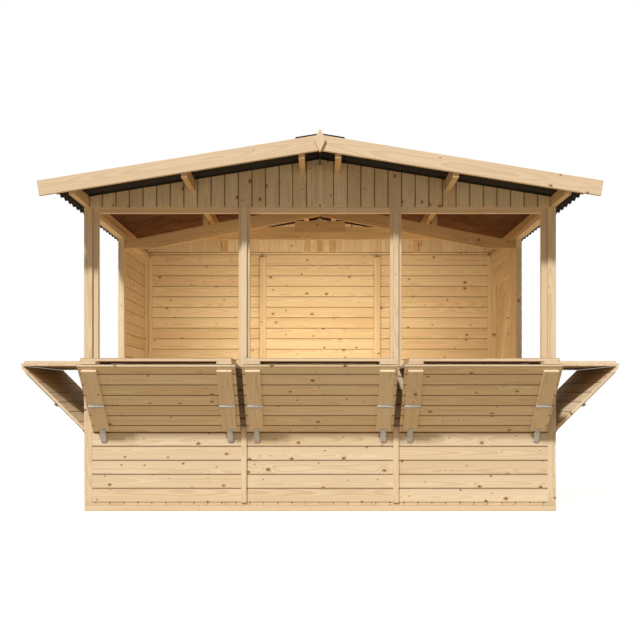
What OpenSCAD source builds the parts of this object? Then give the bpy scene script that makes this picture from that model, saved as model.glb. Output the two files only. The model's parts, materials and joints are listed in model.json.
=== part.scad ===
// Wooden market hut with a corrugated roof, fold-out counters and a side door.
// Millimetres. X runs along the front, +Y goes to the back, +Z is up.
// The origin is the middle of the footprint, on the ground.

/* [Overall] */
// Width of the walls, left to right
hut_w = 3000; // [2400:50:3700]
// Depth of the walls, front to back
hut_d = 2000; // [1900:50:2700]
// Height of the wall panels above the floor
wall_h = 1879; // [1700:1:2200]

/* [Floor] */
// Height of the floor bearers
bearer_h = 38; // [25:1:75]
// Width of the floor bearers
bearer_w = 58; // [38:1:100]
// Number of bearers under the floor
bearer_n = 5; // [3:2:9]
// Thickness of the floor boards
deck_t = 19; // [12:1:28]

/* [Walls] */
// Thickness of the wall boards
board_t = 16; // [12:1:22]
// Side of the square frame posts and rails
frame_s = 36; // [28:1:45]
// Height of the front counter above the ground
front_sill = 920; // [800:5:1050]
// Height of the side counters above the ground
side_sill = 942; // [800:5:1050]
// How far the back wall boards rise past the wall top
back_rise = 19; // [0:1:30]
// Width of each post of the back wall
back_post_w = 26; // [20:1:45]

/* [Roof] */
// Rise of the roof for each unit of run
slope = 0.162; // [0.12:0.002:0.2]
// Height of the roof plane over the wall top, at the side walls
eave_rise = 59; // [50:1:120]
// Overhang of the roof past the front wall
overhang_front = 384; // [250:1:450]
// Overhang of the roof past the back wall
overhang_back = 318; // [200:1:450]
// Overhang of the sheets past the side walls
overhang_side = 123; // [80:1:180]
// Distance between the crests of the corrugated sheet
wave_pitch = 95; // [76:1:114]
// Height of the corrugations
wave_h = 38; // [25:1:50]
// Thickness of the sheet
sheet_t = 3; // [2:0.5:4]
// Half width of the ridge cap
cap_w = 147; // [100:1:200]
// Width of the purlins
purlin_w = 36; // [28:1:45]
// Height of the purlins
purlin_h = 70; // [50:1:75]
// Width of the bargeboards
barge_w = 92; // [70:1:120]
// Thickness of the bargeboards
barge_t = 20; // [14:1:26]
// Height of the diamond at the gable tip
finial_h = 142; // [100:1:170]
// Width of the diamond at the gable tip
finial_w = 70; // [50:1:100]

/* [Truss] */
// Depth of the truss rafters and of the tie
truss_h = 95; // [70:1:110]
// Thickness of the truss timbers
truss_t = 35; // [28:1:45]
// Slope of the underside of the truss rafters
truss_slope = 0.1975; // [0.18:0.0025:0.22]
// Thickness of the tie and of its splice plate
tie_t = 20; // [15:1:25]
// Half length of the tie
tie_half = 850; // [600:10:950]
// Length of the plates that splice the tie
splice_w = 370; // [250:5:500]
// Height of the plates that splice the tie
splice_h = 88; // [60:1:90]

/* [Counters] */
// Length of the folding support, from the counter edge to the wall
leaf_len = 565; // [450:5:600]
// Length of the folding supports at the sides
side_leaf_len = 565; // [450:5:600]
// Thickness of the leaf boards
leaf_t = 16; // [12:1:20]
// Width of the counter battens
batten_w = 90; // [60:1:100]
// Thickness of the counter battens
batten_t = 18; // [14:1:24]
// Thickness of the loose counter tops
top_t = 22; // [18:1:28]
// Depth of the loose counter tops
top_d = 340; // [250:5:380]
// Gap between a counter and the cover strip beside it
leaf_gap = 2; // [1:0.5:10]
// Distance of the outer counters from the hut end
leaf_end = 62; // [20:1:90]
// Distance of the side counters from the wall corners
side_leaf_end = 30; // [15:5:60]
// Distance of the batten middles from the ends of the middle counter
mid_inset = 63; // [52:1:120]
// Distance of the batten middles from the ends of the outer counters
outer_inset = 66; // [52:1:120]
// Distance of the side battens' middles from the ends of a side counter
side_inset = 105; // [60:5:200]

/* [Door] */
// Distance of the doorway from the back corner
door_margin = 88; // [70:1:120]
// Width of the doorway
door_w = 771; // [700:1:790]
// Height of the boards over the doorway
door_drop = 122; // [100:1:300]
// Gap around the door leaf
door_gap = 6; // [5:1:10]
// Width of the ledges and braces
ledge_w = 90; // [70:1:110]
// Thickness of the ledges and braces
ledge_t = 20; // [14:1:24]
// Radius of the hinge knuckles
knuckle_r = 7; // [5:1:8]
// Length of each hinge strap
strap_len = 320; // [200:10:450]

/* [Trim] */
// Width of the cover strips
strip_w = 35; // [28:1:45]
// Thickness of the cover strips
strip_t = 14; // [10:1:18]
// Height of the lower cover strips
strip_h = 495; // [300:5:600]

/* [Hidden] */

// Gaps of the support battens from the ends of a folding support
batten_top = 21;
batten_foot = 27;
// Straps across the support battens, and their place along the support
bar_w = 100;
bar_h = 20;
bar_t = 12;
strap_place = 0.538;
// How far the loose tops stop short of a leaf's end beside a cover strip
top_inset_outer = 30;
top_inset_mid = 20;
// Distance of the side counters from the middle of the side wall
side_leaf_start = 35;
// Hasp plates on the wall
hasp_w = 37;
hasp_t = 6;
hasp_h = 65;
// Gap between two timbers that lie side by side
seam = 0.6;
// Gap between a curved or sloping piece and its seat
seat = 0.3;
// Number of the wall bays at the front and the back
bay_n = 3;
// How far the back posts stop below the wall top
back_post_drop = 24;

half_w = hut_w / 2;
half_d = hut_d / 2;
floor_z = bearer_h + deck_t;
wall_top = floor_z + wall_h;
// Inner limits of the front and back walls, which stand between the side walls
side_t = board_t + frame_s;
bay_x = half_w - side_t;
bay_w = 2 * bay_x / bay_n;
bay_edges = [for (i = [0 : bay_n]) -bay_x + i * bay_w];
// The rail under a hatch closes the gap below the loose counter tops
sill_top = front_sill + batten_t;
// Walls start behind their boards
frame_y = half_d - board_t;
frame_x = half_w - board_t;

// Roof plane, which the troughs of the sheets follow
ridge_z = wall_top + eave_rise + slope * half_w;
pitch = atan(slope);
eave_x = half_w + overhang_side;
roof_front = -half_d - overhang_front + barge_t + seat;
roof_back = half_d + overhang_back - barge_t - seat;
wave_n = round((roof_back - roof_front) / wave_pitch);
wave_l = (roof_back - roof_front) / wave_n;
ridge_clear = 92;
middle_share = 0.541;
purlin_xs = [purlin_w / 2 + ridge_clear, middle_share * half_w];
barge_over = 49;
barge_end = 62;
finial_over = 31;
cap_over = barge_over + 14;

// Door place on the right wall
hinge_out = 9;
door_end = half_d - door_margin;
door_start = door_end - door_w;
door_head_z = wall_top - door_drop;
hinge_x = half_w + hinge_out;
hinge_y = door_end + 2;
leaf_y0 = door_start + door_gap;
leaf_y1 = door_end - door_gap + 1;
leaf_z0 = floor_z + door_gap;
leaf_z1 = door_head_z - door_gap;
// Heights of the middles of the three ledges
low_ledge = 132;
middle_ledge = 682;
ledge_drop = 94;
ledge_zs = [leaf_z0 + low_ledge, leaf_z0 + middle_ledge, leaf_z1 - ledge_drop];
ledge_inset = 6;
hinge_zs = [ledge_zs[0], ledge_zs[2]];
strap_t = 4;
strap_h = 34;
hinge_h = 96;
// Gap between the knuckles of a hinge
knuckle_gap = 0.5;

function roof_z(x) = ridge_z - slope * abs(x);

pine = "#dfc090";
pine_dark = "#b98d54";
pine_mid = "#cda56c";
sheet_black = "#1d1a18";
zinc = "#a9a9a6";

module box(x0, x1, y0, y1, z0, z1) {
    translate([x0, y0, z0])
        cube([x1 - x0, y1 - y0, z1 - z0]);
}

// A slab between two depths, with its outline in the X-Z plane
module gable_slab(points, y0, y1) {
    translate([0, y1, 0])
        rotate([90, 0, 0])
            linear_extrude(height = y1 - y0)
                polygon(points);
}

// Both sides of the hut
module both_sides() {
    children();
    mirror([1, 0, 0]) children();
}

/* ---- Floor ---- */

module floor_bearers() {
    step = (hut_d - bearer_w) / (bearer_n - 1);
    color(pine_dark)
        for (i = [0 : bearer_n - 1])
            translate([-half_w, -half_d + i * step, 0])
                cube([hut_w, bearer_w, bearer_h]);
}

module floor_deck() {
    color(pine_mid) box(-half_w, half_w, -half_d, half_d, bearer_h, floor_z);
}

/* ---- Front and back walls ---- */

// Boards of each bay, with a seam between the bays
module bay_boards(y0, y1, z1) {
    for (i = [0 : bay_n - 1])
        box(bay_edges[i] + seam / 2, bay_edges[i + 1] - seam / 2, y0, y1, floor_z, z1);
}

// Two posts in each bay, at its ends
module bay_posts(y0, y1, z1, width) {
    for (i = [0 : bay_n - 1]) {
        left = bay_edges[i] + seam / 2;
        right = bay_edges[i + 1] - seam / 2;
        box(left, left + width, y0, y1, floor_z, z1);
        box(right - width, right, y0, y1, floor_z, z1);
    }
}

// Rails between the posts of each bay, by their top heights
module bay_rails(y0, y1, tops, post_w) {
    for (i = [0 : bay_n - 1], z = tops)
        box(bay_edges[i] + seam / 2 + post_w, bay_edges[i + 1] - seam / 2 - post_w,
            y0, y1, z - frame_s, z);
}

module front_wall() {
    color(pine) bay_boards(-half_d, -frame_y, front_sill);
}

module front_posts() {
    color(pine) bay_posts(-frame_y, -frame_y + frame_s, wall_top, frame_s);
}

module front_rails() {
    color(pine)
        bay_rails(-frame_y, -frame_y + frame_s, [floor_z + frame_s, sill_top, wall_top],
            frame_s);
}

module back_wall() {
    color(pine) bay_boards(frame_y, half_d, wall_top + back_rise);
}

module back_posts() {
    color(pine)
        bay_posts(frame_y - frame_s, frame_y, wall_top - back_post_drop, back_post_w);
}

module back_rails() {
    color(pine)
        bay_rails(frame_y - frame_s, frame_y, [floor_z + frame_s], back_post_w);
}

/* ---- Side walls ---- */

module left_wall() {
    color(pine) {
        box(-half_w, -frame_x, -half_d, -seam / 2, floor_z, side_sill);
        box(-half_w, -frame_x, seam / 2, half_d, floor_z, wall_top);
    }
}

module right_wall() {
    color(pine) {
        box(frame_x, half_w, -half_d, -seam / 2, floor_z, side_sill);
        box(frame_x, half_w, seam / 2, door_start, floor_z, wall_top);
        box(frame_x, half_w, door_end, half_d, floor_z, wall_top);
    }
}

module over_door_wall() {
    color(pine) box(frame_x, half_w, door_start, door_end, door_head_z, wall_top);
}

// Strips at the front and the head of the side windows, in the plane of the boards
module window_facings() {
    end = -half_d + frame_s;
    color(pine)
        both_sides() {
            box(frame_x, half_w, -half_d, end, side_sill, wall_top);
            box(frame_x, half_w, end + seam, -seam / 2, wall_top - frame_s, wall_top);
        }
}

module side_posts() {
    inner = frame_x - frame_s;
    color(pine)
        both_sides() {
            box(inner, frame_x, -half_d, -half_d + frame_s, floor_z, wall_top);
            box(inner, frame_x, -frame_s - seam / 2, -seam / 2, floor_z, wall_top);
            box(inner, frame_x, seam / 2, seam / 2 + frame_s, floor_z, wall_top);
            box(inner, frame_x, half_d - frame_s, half_d, floor_z, wall_top);
        }
}

module side_rails() {
    inner = frame_x - frame_s;
    front_y = [-half_d + frame_s, -frame_s - seam / 2];
    rear_y = [frame_s + seam / 2, half_d - frame_s];
    color(pine) {
        both_sides()
            for (z = [floor_z + frame_s, side_sill, wall_top])
                box(inner, frame_x, front_y[0], front_y[1], z - frame_s, z);
        for (z = [floor_z + frame_s, (floor_z + wall_top) / 2])
            box(-frame_x, -inner, rear_y[0], rear_y[1], z - frame_s, z);
        both_sides()
            box(inner, frame_x, rear_y[0], rear_y[1], wall_top - frame_s, wall_top);
    }
}

module door_jambs() {
    inner = frame_x - frame_s;
    top = wall_top - frame_s;
    color(pine) {
        box(inner, frame_x, frame_s + seam, door_start, floor_z, top);
        box(inner, frame_x, door_end, half_d - frame_s, floor_z, top);
    }
}

module door_head() {
    inner = frame_x - frame_s;
    color(pine)
        box(inner, frame_x, door_start, door_end, door_head_z, wall_top - frame_s);
}

/* ---- Gables ---- */

// Boards under the roof, notched round the purlins
module gable_boards(y0, y1, z0) {
    edge = half_w - purlin_w;
    difference() {
        gable_slab([[-edge, z0], [edge, z0], [edge, roof_z(edge) - seat],
            [0, ridge_z - seat], [-edge, roof_z(edge) - seat]], y0, y1);
        both_sides()
            for (x = purlin_xs)
                box(x - purlin_w / 2 - seat, x + purlin_w / 2 + seat, y0 - 1, y1 + 1,
                    roof_z(x) - purlin_h, ridge_z);
    }
}

module front_gable() {
    color(pine_dark) gable_boards(-half_d, -frame_y, wall_top);
}

module back_gable() {
    color(pine_dark) gable_boards(frame_y, half_d, wall_top + back_rise);
}

// Studs behind a gable, under the purlins and the ridge
module gable_stud_row(y0, z0) {
    for (x = purlin_xs)
        both_sides()
            box(x - purlin_w / 2, x + purlin_w / 2, y0, y0 + frame_s, z0, roof_z(x) - purlin_h);
    top = roof_z(strip_w / 2) - seat;
    gable_slab([[-strip_w / 2, z0], [strip_w / 2, z0], [strip_w / 2, top],
        [0, ridge_z - seat], [-strip_w / 2, top]], y0, y0 + frame_s);
}

module gable_studs() {
    color(pine_dark) {
        gable_stud_row(-frame_y, wall_top);
        gable_stud_row(frame_y - frame_s, wall_top + back_rise);
    }
}

/* ---- Purlins and truss ---- */

// A purlin whose top lies in the roof plane
module purlin(x0, x1, z0) {
    gable_slab([[x0, z0], [x1, z0], [x1, roof_z(x1) - seat], [x0, roof_z(x0) - seat]],
        roof_front, roof_back);
}

module eave_purlins() {
    x1 = half_w;
    color(pine_dark) both_sides() purlin(x1 - purlin_w, x1, wall_top);
}

module middle_purlins() {
    x = purlin_xs[1];
    color(pine_dark)
        both_sides() purlin(x - purlin_w / 2, x + purlin_w / 2, roof_z(x) - purlin_h);
}

module ridge_purlins() {
    x = purlin_xs[0];
    color(pine_dark)
        both_sides() purlin(x - purlin_w / 2, x + purlin_w / 2, roof_z(x) - purlin_h);
}

// The truss rafters carry the ridge purlins and end on the inside of the side walls
truss_top = roof_z(purlin_xs[0]) - purlin_h - seat + truss_slope * (purlin_xs[0] - purlin_w / 2);
function upper_z(x) = truss_top - truss_slope * abs(x);
function under_z(x) = upper_z(x) - truss_h;
truss_end = frame_x - frame_s - seat;
truss_seat_drop = 104;
truss_seat_z = wall_top - truss_seat_drop;
truss_seat_x = (truss_top - truss_h - truss_seat_z) / truss_slope;

module truss_rafters() {
    color(pine_mid)
        both_sides()
            gable_slab([[seam / 2, under_z(seam / 2)],
                [truss_seat_x, truss_seat_z],
                [truss_end, truss_seat_z],
                [truss_end, upper_z(truss_end)],
                [seam / 2, upper_z(seam / 2)]], -truss_t / 2, truss_t / 2);
}

// The tie lies against the back face of the rafters
tie_z = wall_top - frame_s;
tie_y = truss_t / 2;

module truss_tie() {
    color(pine_mid)
        both_sides()
            box(seam / 2, tie_half, tie_y, tie_y + tie_t, tie_z, tie_z + truss_h);
}

// The plate lies on the front face of the tie, below the rafters
module splice_plates() {
    z0 = tie_z + truss_h / 2;
    z1 = min(z0 + splice_h, under_z(splice_w / 2) - seam);
    color(pine_mid) box(-splice_w / 2, splice_w / 2, tie_y - tie_t, tie_y, z0, z1);
}

// Short blocks that hold the middle purlins to the truss
module truss_cleats() {
    x0 = purlin_xs[1] + purlin_w / 2;
    width = 40;
    below = 20;
    x1 = x0 + width;
    color(pine_mid)
        both_sides()
            gable_slab([[x0, upper_z(x0)], [x1, upper_z(x1)],
                [x1, roof_z(x1) - below], [x0, roof_z(x0) - below]],
                -truss_t / 2, truss_t / 2);
}

/* ---- Roof ---- */

// Half the height between the wave's two skins
wave_a = (wave_h - sheet_t) / 2;
wave_steps = 8;

function wave(i, t) =
    [i * wave_l / wave_steps, wave_h / 2 - wave_a * cos(i * 360 / wave_steps) + t];

module roof_sheet() {
    start = 8;
    length = (eave_x - start) / cos(pitch);
    steps = wave_n * wave_steps;
    lower = [for (i = [0 : steps]) wave(i, -sheet_t / 2)];
    upper = [for (i = [steps : -1 : 0]) wave(i, sheet_t / 2)];
    translate([start, roof_front, roof_z(start)])
        rotate([0, pitch, 0])
            rotate([90, 0, 90])
                linear_extrude(height = length)
                    polygon(concat(lower, upper));
}

module roof_sheet_right() {
    color(sheet_black) roof_sheet();
}

module roof_sheet_left() {
    color(sheet_black) mirror([1, 0, 0]) roof_sheet();
}

// Folded cap whose turned-down edges rest on the crests
module ridge_cap() {
    lip = roof_z(cap_w) + wave_h / cos(pitch) + seat;
    fold = cap_w - sheet_t;
    color(sheet_black)
        gable_slab([[-cap_w, lip], [-cap_w, roof_z(cap_w) + cap_over],
            [0, ridge_z + cap_over],
            [cap_w, roof_z(cap_w) + cap_over], [cap_w, lip],
            [fold, lip], [fold, roof_z(fold) + cap_over - sheet_t],
            [0, ridge_z + cap_over - sheet_t],
            [-fold, roof_z(fold) + cap_over - sheet_t], [-fold, lip]],
            roof_front, roof_back);
}

module bargeboard(y0) {
    drop = barge_w / cos(pitch);
    top_end = eave_x + barge_end;
    end_back = barge_w * sin(pitch);
    gable_slab([[seam / 2, ridge_z + barge_over - drop],
        [top_end - end_back, roof_z(top_end - end_back) + barge_over - drop],
        [top_end, roof_z(top_end) + barge_over],
        [seam / 2, ridge_z + barge_over]], y0, y0 + barge_t);
}

module front_bargeboards() {
    color(pine) both_sides() bargeboard(-half_d - overhang_front);
}

module back_bargeboards() {
    color(pine) both_sides() bargeboard(half_d + overhang_back - barge_t);
}

module finials() {
    tip = ridge_z + barge_over + finial_over;
    mid = tip - 0.45 * finial_h;
    outline = [[0, tip], [-finial_w / 2, mid], [0, tip - finial_h], [finial_w / 2, mid]];
    front = -half_d - overhang_front;
    back = half_d + overhang_back;
    color(pine) {
        gable_slab(outline, front - barge_t, front);
        gable_slab(outline, back, back + barge_t);
    }
}

/* ---- Cover strips ---- */

// Strips on the posts, above the counters
module post_strips() {
    color(pine)
        for (x = [bay_edges[1], bay_edges[2]])
            box(x - strip_w / 2, x + strip_w / 2, -half_d, -frame_y,
                front_sill, wall_top);
}

// Strips over the panel joints, below the counters
module panel_strips() {
    color(pine)
        for (x = [bay_edges[1], bay_edges[2]])
            translate([x - strip_w / 2, 0, 0])
                rotate([90, 0, 90])
                    linear_extrude(height = strip_w)
                        polygon([[-half_d - strip_t, floor_z], [-half_d, floor_z],
                            [-half_d, floor_z + strip_h],
                            [-half_d - strip_t, floor_z + strip_h - strip_t]]);
}

module gable_strips() {
    color(pine)
        for (y0 = [-half_d - strip_t, half_d])
            box(-strip_w / 2, strip_w / 2, y0, y0 + strip_t,
                wall_top + back_rise, ridge_z - purlin_h / 2);
}

/* ---- Counters ---- */

// The folding supports lean at 45 degrees from the counter's edge to the wall.
// A counter is its two ends, the insets of its battens, the length of its support,
// and how far the support's face starts below the leaf.
skin = leaf_t * cos(45);
outer_end = half_w - leaf_end;
outer_start = bay_edges[2] + strip_w / 2 + leaf_gap;
mid_end = bay_edges[2] - strip_w / 2 - leaf_gap;
front_counters = [
    [-outer_end, -outer_start, outer_inset, outer_inset, leaf_len, 0],
    [-mid_end, mid_end, mid_inset, mid_inset, leaf_len, 0],
    [outer_start, outer_end, outer_inset, outer_inset, leaf_len, 0]
];
side_counter = [-half_d + side_leaf_end, -side_leaf_start, side_inset, side_inset,
    side_leaf_len, skin];
function lean(c) = c[4] * cos(45);
function reach(c) = lean(c) + skin;
function batten_mids(c) = [c[0] + c[2], c[1] - c[3]];

// Places a counter on its wall: y = 0 is the wall's face and z = 0 the counter's top
module on_front() {
    translate([0, -half_d, front_sill]) children();
}

module on_sides() {
    both_sides()
        translate([half_w, 0, side_sill])
            rotate([0, 0, 90])
                children();
}

// Frame of a folding support: y into its thickness, z down along it
module on_support(c) {
    translate([0, -reach(c), -leaf_t - c[5]])
        rotate([45, 0, 0])
            mirror([0, 0, 1])
                children();
}

module counter_leaf(c) {
    box(c[0], c[1], -reach(c), 0, -leaf_t, 0);
}

// Its top end is cut to lie under the leaf, and its foot is square
module support_leaf(c) {
    z0 = -leaf_t - c[5];
    foot = [-skin, z0 - lean(c)];
    translate([c[0], 0, 0])
        rotate([90, 0, 90])
            linear_extrude(height = c[1] - c[0])
                polygon([[-reach(c), z0], foot, foot + [skin, skin],
                    [-reach(c) + 2 * skin - c[5], -leaf_t]]);
}

module top_battens(c) {
    for (x = batten_mids(c))
        box(x - batten_w / 2, x + batten_w / 2, -reach(c), 0, 0, batten_t);
}

module under_battens(c) {
    for (x = batten_mids(c))
        on_support(c)
            box(x - batten_w / 2, x + batten_w / 2, -batten_t, 0, batten_top, c[4] - batten_foot);
}

// A flat strap across each batten
module strap_pair(c) {
    z = strap_place * c[4];
    for (x = batten_mids(c))
        on_support(c)
            box(x - bar_w / 2, x + bar_w / 2, -batten_t - bar_t, -batten_t, z, z + bar_h);
}

// A hasp plate on the wall under each batten
module hasp_pair(c) {
    foot = -leaf_t - c[5] - lean(c);
    for (x = batten_mids(c))
        box(x - hasp_w / 2, x + hasp_w / 2, -hasp_t, 0, foot - hasp_h, foot - 2);
}

module counter_leaves() {
    color(pine_mid) {
        for (c = front_counters) on_front() counter_leaf(c);
        on_sides() counter_leaf(side_counter);
    }
}

module support_leaves() {
    color(pine_mid) {
        for (c = front_counters) on_front() support_leaf(c);
        on_sides() support_leaf(side_counter);
    }
}

module counter_battens() {
    color(pine) {
        for (c = front_counters) on_front() top_battens(c);
        on_sides() top_battens(side_counter);
    }
}

module support_battens() {
    color(pine) {
        for (c = front_counters) on_front() under_battens(c);
        on_sides() under_battens(side_counter);
    }
}

// The loose tops lie on the battens
module counter_tops() {
    inner = outer_start + top_inset_outer;
    middle = mid_end - top_inset_mid;
    color(pine)
        for (ends = [[-outer_end, -inner], [-middle, middle], [inner, outer_end]])
            on_front()
                box(ends[0], ends[1], -top_d, 0, batten_t, batten_t + top_t);
}

module counter_straps() {
    color(zinc) {
        for (c = front_counters) on_front() strap_pair(c);
        on_sides() strap_pair(side_counter);
    }
}

module counter_hasps() {
    color(zinc) {
        for (c = front_counters) on_front() hasp_pair(c);
        on_sides() hasp_pair(side_counter);
    }
}

/* ---- Door ---- */

module door_boards() {
    color(pine) box(frame_x, half_w, leaf_y0, leaf_y1, leaf_z0, leaf_z1);
}

module door_ledges() {
    color(pine_mid)
        for (z = ledge_zs)
            box(frame_x - ledge_t, frame_x, leaf_y0 + ledge_inset, leaf_y1 - ledge_inset,
                z - ledge_w / 2, z + ledge_w / 2);
}

// Braces that rise from the hinge side towards the front
module door_braces() {
    width = 115;
    steepness = 1.4;
    hinge_side = leaf_y1 - ledge_inset;
    span = hinge_side - leaf_y0 - ledge_inset;
    color(pine_mid)
        for (i = [0, 1]) {
            z0 = ledge_zs[i] + ledge_w / 2;
            z1 = ledge_zs[i + 1] - ledge_w / 2;
            run = min((z1 - z0) / steepness, span - width);
            translate([frame_x - ledge_t, 0, 0])
                rotate([90, 0, 90])
                    linear_extrude(height = ledge_t)
                        polygon([[hinge_side - width, z0], [hinge_side, z0],
                            [hinge_side - run, z1], [hinge_side - run - width, z1]]);
        }
}

// Straps on the door's face, with the knuckle that turns on the pin
module door_straps() {
    color(zinc)
        for (z = hinge_zs) {
            box(half_w, half_w + strap_t, hinge_y - strap_len, hinge_y - knuckle_r - 1,
                z - strap_h / 2, z + strap_h / 2);
            translate([hinge_x, hinge_y, z - strap_h / 2])
                cylinder(r = knuckle_r, h = strap_h, $fn = 24);
            box(half_w + strap_t - 2, hinge_x, hinge_y - knuckle_r - 1, hinge_y - knuckle_r + 3,
                z - strap_h / 2, z + strap_h / 2);
        }
}

module door_latch() {
    z = (leaf_z0 + leaf_z1) / 2;
    y0 = leaf_y0 + 10;
    length = 100;
    height = 40;
    thickness = 8;
    color(zinc)
        box(half_w, half_w + thickness, y0, y0 + length, z - height / 2, z + height / 2);
}

// Fixed plates beside the doorway, with the outer knuckles
module hinge_plates() {
    edge_clear = 20;
    color(zinc)
        for (z = hinge_zs) {
            box(half_w, half_w + strap_t, hinge_y + knuckle_r + 1, half_d - edge_clear,
                z - hinge_h / 2, z + hinge_h / 2);
            for (z0 = [z - hinge_h / 2, z + strap_h / 2 + knuckle_gap]) {
                h = (hinge_h - strap_h) / 2 - knuckle_gap;
                translate([hinge_x, hinge_y, z0])
                    cylinder(r = knuckle_r, h = h, $fn = 24);
                box(half_w + strap_t - 2, hinge_x, hinge_y + knuckle_r - 3,
                    hinge_y + knuckle_r + 1, z0, z0 + h);
            }
        }
}

floor_bearers();
floor_deck();
front_wall();
front_posts();
front_rails();
left_wall();
right_wall();
over_door_wall();
window_facings();
side_posts();
side_rails();
door_jambs();
door_head();
back_wall();
back_posts();
back_rails();
front_gable();
back_gable();
gable_studs();
eave_purlins();
middle_purlins();
ridge_purlins();
truss_rafters();
truss_tie();
splice_plates();
truss_cleats();
roof_sheet_left();
roof_sheet_right();
ridge_cap();
front_bargeboards();
back_bargeboards();
finials();
post_strips();
panel_strips();
gable_strips();
counter_leaves();
support_leaves();
counter_battens();
support_battens();
counter_tops();
counter_straps();
counter_hasps();
door_boards();
door_ledges();
door_braces();
door_straps();
door_latch();
hinge_plates();
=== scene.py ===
"""Wooden market hut: boards, timbers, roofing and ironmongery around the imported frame."""
import json
import math
import random

import bmesh
import bpy
from mathutils import Matrix, Vector


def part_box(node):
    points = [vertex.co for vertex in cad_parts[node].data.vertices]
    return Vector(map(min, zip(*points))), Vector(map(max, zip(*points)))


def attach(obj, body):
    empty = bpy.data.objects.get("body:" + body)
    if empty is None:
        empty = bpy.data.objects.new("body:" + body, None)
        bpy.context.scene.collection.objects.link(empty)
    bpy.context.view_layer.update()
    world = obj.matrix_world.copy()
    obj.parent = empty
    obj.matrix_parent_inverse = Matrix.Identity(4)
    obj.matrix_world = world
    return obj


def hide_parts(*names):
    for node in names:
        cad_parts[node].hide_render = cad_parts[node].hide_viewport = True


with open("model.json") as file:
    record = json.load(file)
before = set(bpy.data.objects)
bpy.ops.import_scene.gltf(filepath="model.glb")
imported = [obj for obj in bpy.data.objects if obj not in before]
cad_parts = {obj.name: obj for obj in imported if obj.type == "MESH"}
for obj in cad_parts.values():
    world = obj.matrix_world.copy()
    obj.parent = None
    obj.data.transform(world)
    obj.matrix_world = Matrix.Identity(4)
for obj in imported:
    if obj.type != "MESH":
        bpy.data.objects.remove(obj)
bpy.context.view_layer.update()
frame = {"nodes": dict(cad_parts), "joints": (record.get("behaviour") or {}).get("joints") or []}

rng = random.Random(7)

X = Vector((1, 0, 0))
Y = Vector((0, 1, 0))
Z = Vector((0, 0, 1))
MM = 0.001
COVER = 89 * MM             # width that one board covers
GABLE_COVER = 86.5 * MM     # the same, on the gables
GROOVE_OUT = 4.4 * MM       # chamfer of the boards' joints on the outer face
GROOVE_IN = 3.0 * MM        # chamfer of the boards' joints on the inner face
ARRIS = 1.4 * MM            # worn edge of a sawn timber
DECK_GAP = 2 * MM           # gap between the floor boards
BACK_LIFT = 8 * MM          # how much higher the joints of the back wall lie
GABLE_FOOT = 6 * MM         # chamfer at the foot of the back gable's boards, inside, painted dark as a shadow gap
FIRST_BOARD = 59 * MM       # width of the top board of a folding support
WAVE = 95 * MM              # distance between the crests of the roof sheets
SHEET_T = 3 * MM            # thickness of the roof sheets
RIDGE_FIXING = 0.19         # distance of the top row of fixings from the ridge
IRON_T = 3.4 * MM           # thickness of the hinges' straps and plates
LATCH_T = 2.2 * MM          # thickness of the latch plate
KNUCKLE_GAP = 0.5 * MM      # gap between the knuckles of a hinge


# ---------------------------------------------------------------- materials

def srgb(r, g, b):
    """An 8-bit screen colour as the linear colour that a shader takes."""
    def one(c):
        c /= 255
        return c / 12.92 if c <= 0.04045 else ((c + 0.055) / 1.055) ** 2.4
    return (one(r), one(g), one(b), 1.0)


class Graph:
    """A material's node tree, written as calls that return sockets."""

    def __init__(self, name):
        self.material = bpy.data.materials.new(name)
        self.material.use_nodes = True
        self.tree = self.material.node_tree
        self.shader = self.tree.nodes["Principled BSDF"]

    def add(self, kind, inputs=(), **settings):
        node = self.tree.nodes.new(kind)
        for key, value in settings.items():
            setattr(node, key, value)
        for key, value in dict(inputs).items():
            self.put(node.inputs[key], value)
        return node

    def put(self, socket, value):
        if isinstance(value, bpy.types.NodeSocket):
            self.tree.links.new(value, socket)
        else:
            socket.default_value = value

    def math(self, operation, a, b=0.0):
        return self.add("ShaderNodeMath", {0: a, 1: b}, operation=operation).outputs[0]

    def attribute(self, name, output):
        return self.add("ShaderNodeAttribute", attribute_name=name).outputs[output]

    def vector(self, x, y, z):
        return self.add("ShaderNodeCombineXYZ", {0: x, 1: y, 2: z}).outputs[0]

    def split(self, vector):
        return self.add("ShaderNodeSeparateXYZ", {0: vector}).outputs

    def stretch(self, xyz, sx, sy, sz):
        return self.vector(self.math("MULTIPLY", xyz[0], sx), self.math("MULTIPLY", xyz[1], sy),
                           self.math("MULTIPLY", xyz[2], sz))

    def noise(self, vector, scale=1.0, detail=2.0, roughness=0.5):
        inputs = {"Vector": vector, "Scale": scale, "Detail": detail, "Roughness": roughness}
        return self.add("ShaderNodeTexNoise", inputs).outputs[0]

    def step(self, value, low, high, to_low=0.0, to_high=1.0):
        inputs = {0: value, 1: low, 2: high, 3: to_low, 4: to_high}
        return self.add("ShaderNodeMapRange", inputs, interpolation_type="SMOOTHSTEP").outputs[0]

    def mix(self, factor, a, b):
        node = self.add("ShaderNodeMix", data_type="RGBA")
        self.put(node.inputs[0], factor)
        self.put(node.inputs[6], a)
        self.put(node.inputs[7], b)
        return node.outputs[2]

    def bump(self, height, distance, strength):
        inputs = {"Height": height, "Distance": distance, "Strength": strength}
        return self.add("ShaderNodeBump", inputs).outputs[0]

    def finish(self, **inputs):
        for key, value in inputs.items():
            self.put(self.shader.inputs[key.replace("_", " ")], value)
        return self.material


KNOT_CELLS = (4.4, 11.0)    # cells with room for one knot, in a metre along and across the grain
KNOT_STRETCH = 1.35         # how much longer than wide a knot is
KNOT_MIN = 2.2 * MM         # radius of the smallest knots
KNOT_SPREAD = 6.0 * MM      # how much larger the largest ones are
RINGS = 175.0               # growth rings in a metre


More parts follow.
